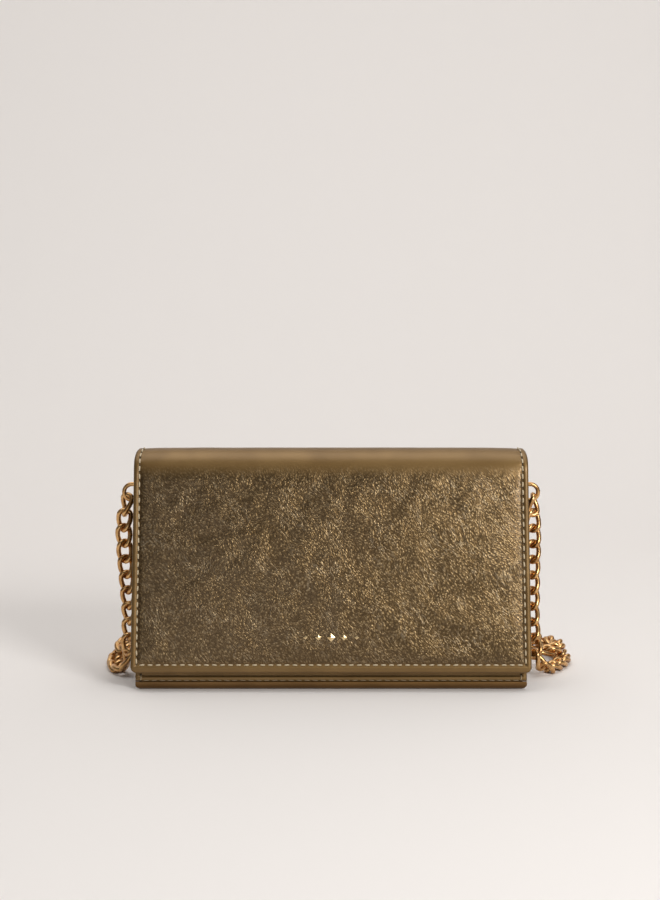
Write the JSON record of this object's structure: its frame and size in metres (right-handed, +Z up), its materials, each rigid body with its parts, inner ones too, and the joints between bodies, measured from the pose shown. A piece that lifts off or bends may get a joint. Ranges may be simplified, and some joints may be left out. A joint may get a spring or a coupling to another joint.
{
  "type": "chain wallet",
  "caption": "Structured flap wallet in grained metallic leather with gusseted compartment, zip pocket, card slots and a curb-chain shoulder strap on swivelling D-rings",
  "frame": {"origin": "On the standing surface, below the middle of the wallet's bounding box, the free chain left out", "axes": "X runs across the front to the viewer's right, Y from front to back, Z up"},
  "size_m": [0.2487, 0.0945, 0.12],
  "materials": {
    "outer_leather": "pebbled leather with a rubbed metallic bronze foil",
    "lining_leather": "smooth dark brown lining leather",
    "board": "pressed fibre stiffening board",
    "zip_tape": "woven twill tape",
    "tie_leather": "thin smooth leather strap",
    "antique_gold_metal": "polished antique gold plating, darker in the recesses",
    "bright_gold_metal": "polished light gold plating",
    "plain_steel": "plain pressed steel",
    "magnet": "dull dark sintered magnet"
  },
  "bodies": {
    "wallet": {"back_leather": "outer_leather", "back_board": "board", "back_lining": "lining_leather", "base_leather": "outer_leather", "base_board": "board", "base_lining": "lining_leather", "front_leather": "outer_leather", "front_board": "board", "front_lining": "lining_leather", "slip_pocket": "lining_leather", "gusset_left": "outer_leather", "gusset_right": "outer_leather", "zip_pocket_wall": "lining_leather", "zip_tape_front": "zip_tape", "zip_tape_back": "zip_tape", "zip_teeth": "bright_gold_metal", "zip_stops": "bright_gold_metal", "card_slot_1": "lining_leather", "card_slot_2": "lining_leather", "card_slot_3": "lining_leather", "card_slot_4": "lining_leather", "tab_left": "outer_leather", "tab_right": "outer_leather", "snap_socket": "bright_gold_metal", "snap_magnet": "magnet", "snap_socket_washer": "plain_steel", "chain_left": "antique_gold_metal", "chain_right": "antique_gold_metal", "chain_hank": "antique_gold_metal", "chain_tie": "tie_leather"},
    "crown_rear": {"crown_rear_leather": "outer_leather", "crown_rear_lining": "lining_leather"},
    "crown_front": {"crown_front_leather": "outer_leather", "crown_front_lining": "lining_leather"},
    "flap": {"flap_leather": "outer_leather", "flap_board": "board", "flap_lining": "lining_leather", "flap_ornament": "bright_gold_metal", "snap_stud": "bright_gold_metal", "snap_stud_washer": "plain_steel"},
    "slider": {"zip_slider": "bright_gold_metal"},
    "puller": {"zip_puller": "bright_gold_metal"},
    "ring_left": {"d_ring_left": "antique_gold_metal"},
    "ring_right": {"d_ring_right": "antique_gold_metal"}
  },
  "joints": [
    {"name": "flap_lift", "type": "hinge", "parent": "wallet", "child": "crown_rear", "pos_m": [0, 0.02295, 0.11333], "axis": [-1, 0, 0], "range_deg": [0, 65]},
    {"name": "crown_fold", "type": "hinge", "parent": "crown_rear", "child": "crown_front", "pos_m": [0, 0.01248, 0.12044], "axis": [-1, 0, 0], "range_deg": [0, 65]},
    {"name": "flap_fold", "type": "hinge", "parent": "crown_front", "child": "flap", "pos_m": [0, 0.00072, 0.11578], "axis": [-1, 0, 0], "range_deg": [0, 65]},
    {"name": "zip_slide", "type": "slide", "parent": "wallet", "child": "slider", "axis": [-1, 0, 0], "range_m": [0, 0.14]},
    {"name": "puller_swing", "type": "hinge", "parent": "slider", "child": "puller", "pos_m": [0.07, 0.0186, 0.0929], "axis": [0, 1, 0], "range_deg": [0, 160]},
    {"name": "ring_left_swing", "type": "hinge", "parent": "wallet", "child": "ring_left", "pos_m": [-0.1013, 0.0191, 0.096], "axis": [0, 0, 1], "range_deg": [-75, 75]},
    {"name": "ring_right_swing", "type": "hinge", "parent": "wallet", "child": "ring_right", "pos_m": [0.1013, 0.0191, 0.096], "axis": [0, 0, 1], "range_deg": [-75, 75]}
  ],
  "couplings": [
    {"joint": "crown_fold", "follows": "flap_lift", "ratio": 1},
    {"joint": "flap_fold", "follows": "flap_lift", "ratio": 1}
  ]
}
